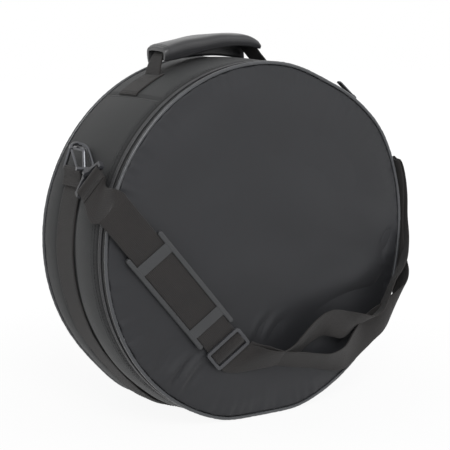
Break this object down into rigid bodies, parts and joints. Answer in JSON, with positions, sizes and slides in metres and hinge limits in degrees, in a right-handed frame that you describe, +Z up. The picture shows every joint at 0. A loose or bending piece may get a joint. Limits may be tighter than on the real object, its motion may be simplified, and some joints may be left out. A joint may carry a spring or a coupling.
{
  "type": "snare drum bag",
  "caption": "Round padded bag for a snare drum, on its edge: piped lid with a zip, webbing band, wrapped handle on top, shoulder strap with snap hooks and an H-shaped pad",
  "frame": {"origin": "on the floor, under the bag's axis, half way between the two piped edges; on the webbing band's flat underside", "axes": "+X to the right as the lid is seen from in front, +Y towards the back panel, so the lid faces -Y, +Z up to the handle"},
  "size_m": [0.4173, 0.176, 0.4219],
  "materials": {
    "cloth": "woven polyester with a fine plain weave, matt with a slight sheen",
    "foam": "closed-cell foam, matt",
    "lining": "smooth nylon lining",
    "webbing": "ribbed polypropylene webbing",
    "zip": "woven tape with a nylon coil",
    "leather": "grained coated cloth, satin",
    "rubber": "moulded, matt",
    "nylon": "moulded nylon, fine satin",
    "metal": "black coating over cast and bent steel, worn a little at the edges"
  },
  "bodies": {
    "case": {"side_wall": "cloth", "top_panel": "cloth", "wall_foam": "foam", "wall_lining": "lining", "back_panel": "cloth", "back_foam": "foam", "back_lining": "lining", "back_piping": "cloth", "zip_body_half": "zip", "hinge_strip": "cloth", "lid_rim": "cloth", "webbing_band": "webbing", "tab_left": "webbing", "tab_right": "webbing", "handle_tail_left": "webbing", "handle_tail_right": "webbing"},
    "lid": {"lid_panel": "cloth", "lid_foam": "foam", "lid_lining": "lining", "lid_piping": "cloth", "zip_lid_half": "zip"},
    "handle": {"handle_loop": "webbing", "handle_grip": "leather"},
    "ring_left": {"ring_left": "metal"},
    "ring_right": {"ring_right": "metal"},
    "strap": {"strap_long": "webbing", "strap_return": "webbing", "strap_end_left": "webbing", "strap_end_right": "webbing", "yoke_left": "nylon", "yoke_right": "nylon"},
    "pad": {"shoulder_pad": "rubber"},
    "strap_slider": {"length_slider": "nylon"},
    "hook_left": {"hook_left": "metal"},
    "hook_right": {"hook_right": "metal"},
    "gate_left": {"gate_left": "metal"},
    "gate_right": {"gate_right": "metal"},
    "zip_slider_upper": {"zip_slider_upper": "metal"},
    "zip_slider_lower": {"zip_slider_lower": "metal"},
    "zip_pull_upper": {"zip_pull_upper": "metal"},
    "zip_pull_lower": {"zip_pull_lower": "metal"}
  },
  "joints": [
    {"name": "lid_open", "type": "hinge", "parent": "case", "child": "lid", "pos_m": [0, -0.07, 0], "axis": [1, 0, 0], "range_deg": [0, 81], "deforming": ["strap_long", "strap_return", "shoulder_pad", "length_slider"]},
    {"name": "handle_tilt", "type": "hinge", "parent": "case", "child": "handle", "pos_m": [-0.01149, 0.022, 0.37637], "axis": [0.998, 0, 0.0628], "range_deg": [-25, 25], "deforming": ["handle_loop"]},
    {"name": "strap_off", "type": "slide", "parent": "case", "child": "strap", "axis": [0, -0.995, 0.0999], "range_m": [0, 0.28]},
    {"name": "pad_slide", "type": "slide", "parent": "strap", "child": "pad", "axis": [-0.6481, 0.028, 0.7611], "range_m": [0, 0.03]},
    {"name": "slider_slide", "type": "slide", "parent": "strap", "child": "strap_slider", "axis": [0.6481, -0.028, -0.7611], "range_m": [0, 0.01]},
    {"name": "ring_swing_left", "type": "hinge", "parent": "case", "child": "ring_left", "pos_m": [-0.18532, 0.017, 0.27582], "axis": [0, 1, 0], "range_deg": [-3, 3]},
    {"name": "hook_swivel_left", "type": "hinge", "parent": "strap", "child": "hook_left", "pos_m": [-0.18164, 0.01157, 0.29903], "axis": [-0.2198, -0.8193, -0.5296], "range_deg": [-20, 15]},
    {"name": "gate_open_left", "type": "hinge", "parent": "hook_left", "child": "gate_left", "pos_m": [-0.19795, -0.01289, 0.28322], "axis": [0, 0.5428, -0.8398], "range_deg": [0, 7], "stiffness_Nm_per_rad": 0.02, "springref_deg": -17.19},
    {"name": "ring_swing_right", "type": "hinge", "parent": "case", "child": "ring_right", "pos_m": [0.18532, 0.017, 0.27582], "axis": [0, 1, 0], "range_deg": [-3, 3]},
    {"name": "hook_swivel_right", "type": "hinge", "parent": "strap", "child": "hook_right", "pos_m": [0.18164, 0.01157, 0.29903], "axis": [0.2198, -0.8193, -0.5296], "range_deg": [-15, 20]},
    {"name": "gate_open_right", "type": "hinge", "parent": "hook_right", "child": "gate_right", "pos_m": [0.19795, -0.01289, 0.28322], "axis": [0, -0.5428, 0.8398], "range_deg": [0, 7], "stiffness_Nm_per_rad": 0.02, "springref_deg": -17.19},
    {"name": "zip_run_upper", "type": "hinge", "parent": "case", "child": "zip_slider_upper", "pos_m": [0, -0.0585, 0.1937], "axis": [0, -1, 0], "range_deg": [0, 190]},
    {"name": "pull_lift_upper", "type": "hinge", "parent": "zip_slider_upper", "child": "zip_pull_upper", "pos_m": [0.12993, -0.0585, 0.34745], "axis": [0, 1, 0], "range_deg": [0, 100]},
    {"name": "zip_run_lower", "type": "hinge", "parent": "case", "child": "zip_slider_lower", "pos_m": [0, -0.0585, 0.1937], "axis": [0, -1, 0], "range_deg": [-104, 0]},
    {"name": "pull_lift_lower", "type": "hinge", "parent": "zip_slider_lower", "child": "zip_pull_lower", "pos_m": [0.14431, -0.0585, 0.33404], "axis": [0, -1, 0], "range_deg": [0, 100]}
  ]
}
